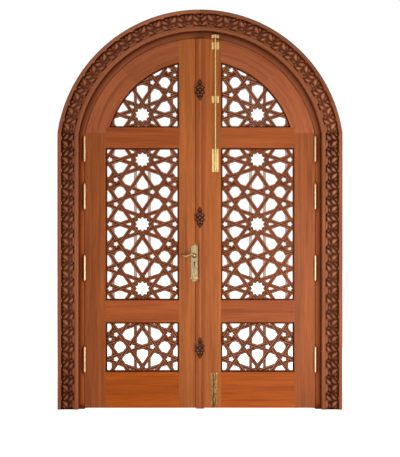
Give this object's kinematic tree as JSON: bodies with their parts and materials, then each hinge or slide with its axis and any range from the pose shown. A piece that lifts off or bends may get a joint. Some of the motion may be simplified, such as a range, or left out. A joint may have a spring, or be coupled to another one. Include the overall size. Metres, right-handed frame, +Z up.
{
  "type": "arched double door",
  "caption": "Arched two-leaf wooden door in its frame, with pierced star-lattice panels, carved architrave, moulded cover strip, lever lock, surface bolts and knuckle hinges.",
  "frame": {"origin": "on the floor, midway between the jambs, in the middle of the closed leaves' thickness", "axes": "+Z up, +Y away from the viewer on the hinge side, +X to that viewer's right"},
  "size_m": [1.9, 0.18, 2.667],
  "materials": {
    "wood": "satin stained hardwood",
    "pale_wood": "satin stained hardwood",
    "dark_wood": "satin stained hardwood, darker in the cuts",
    "brass": "polished",
    "dull_brass": "aged",
    "steel": "satin"
  },
  "bodies": {
    "frame": {"left_jamb": "wood", "right_jamb": "wood", "left_head": "wood", "right_head": "wood", "left_architrave": "wood", "right_architrave": "wood", "left_arch_architrave": "wood", "right_arch_architrave": "wood", "left_carved_band": "dark_wood", "right_carved_band": "dark_wood", "left_arch_carved_band": "dark_wood", "right_arch_carved_band": "dark_wood", "left_hinge_frame_plates": "brass", "right_hinge_frame_plates": "brass", "left_hinge_pins": "brass", "right_hinge_pins": "brass", "top_bolt_keeper": "dull_brass"},
    "left_leaf": {"left_hinge_stile": "wood", "left_meeting_stile": "wood", "left_bottom_rail": "pale_wood", "left_lock_rail": "pale_wood", "left_upper_rail": "pale_wood", "left_haunch_rail": "pale_wood", "left_crown_rail": "pale_wood", "left_lower_lattice": "dark_wood", "left_middle_lattice": "dark_wood", "left_upper_lattice": "dark_wood", "left_hinge_leaf_plates": "brass", "cover_strip": "pale_wood", "front_backplate": "dull_brass", "back_backplate": "dull_brass", "lock_case": "steel"},
    "right_leaf": {"right_hinge_stile": "wood", "right_meeting_stile": "wood", "right_bottom_rail": "pale_wood", "right_lock_rail": "pale_wood", "right_upper_rail": "pale_wood", "right_haunch_rail": "pale_wood", "right_crown_rail": "pale_wood", "right_lower_lattice": "dark_wood", "right_middle_lattice": "dark_wood", "right_upper_lattice": "dark_wood", "right_hinge_leaf_plates": "brass", "strike": "brass", "top_bolt_plate": "dull_brass", "top_bolt_guides": "dull_brass", "bottom_bolt_plate": "dull_brass"},
    "handle": {"front_lever": "brass", "back_lever": "brass", "spindle": "steel"},
    "latch": {"latch": "brass"},
    "dead_bolt": {"dead_bolt": "steel"},
    "top_bolt": {"top_bolt_rod": "brass"},
    "bottom_bolt": {"bottom_bolt_rod": "brass"}
  },
  "joints": [
    {"name": "left_leaf_swing", "type": "hinge", "parent": "frame", "child": "left_leaf", "pos_m": [-0.7705, -0.034, 0], "axis": [0, 0, -1], "range_deg": [0, 110]},
    {"name": "right_leaf_swing", "type": "hinge", "parent": "frame", "child": "right_leaf", "pos_m": [0.7705, -0.034, 0], "axis": [0, 0, 1], "range_deg": [0, 110]},
    {"name": "lever_turn", "type": "hinge", "parent": "left_leaf", "child": "handle", "pos_m": [-0.0379, 0, 1.027], "axis": [0, -1, 0], "range_deg": [0, 40], "stiffness_Nm_per_rad": 1.2, "springref_deg": -28.65},
    {"name": "latch_slide", "type": "slide", "parent": "left_leaf", "child": "latch", "axis": [1, 0, 0], "range_m": [0, 0.012]},
    {"name": "dead_bolt_slide", "type": "slide", "parent": "left_leaf", "child": "dead_bolt", "axis": [1, 0, 0], "range_m": [0, 0.02]},
    {"name": "top_bolt_slide", "type": "slide", "parent": "right_leaf", "child": "top_bolt", "axis": [0, 0, 1], "range_m": [0, 0.022]},
    {"name": "bottom_bolt_slide", "type": "slide", "parent": "right_leaf", "child": "bottom_bolt", "axis": [0, 0, -1], "range_m": [0, 0.03]}
  ]
}
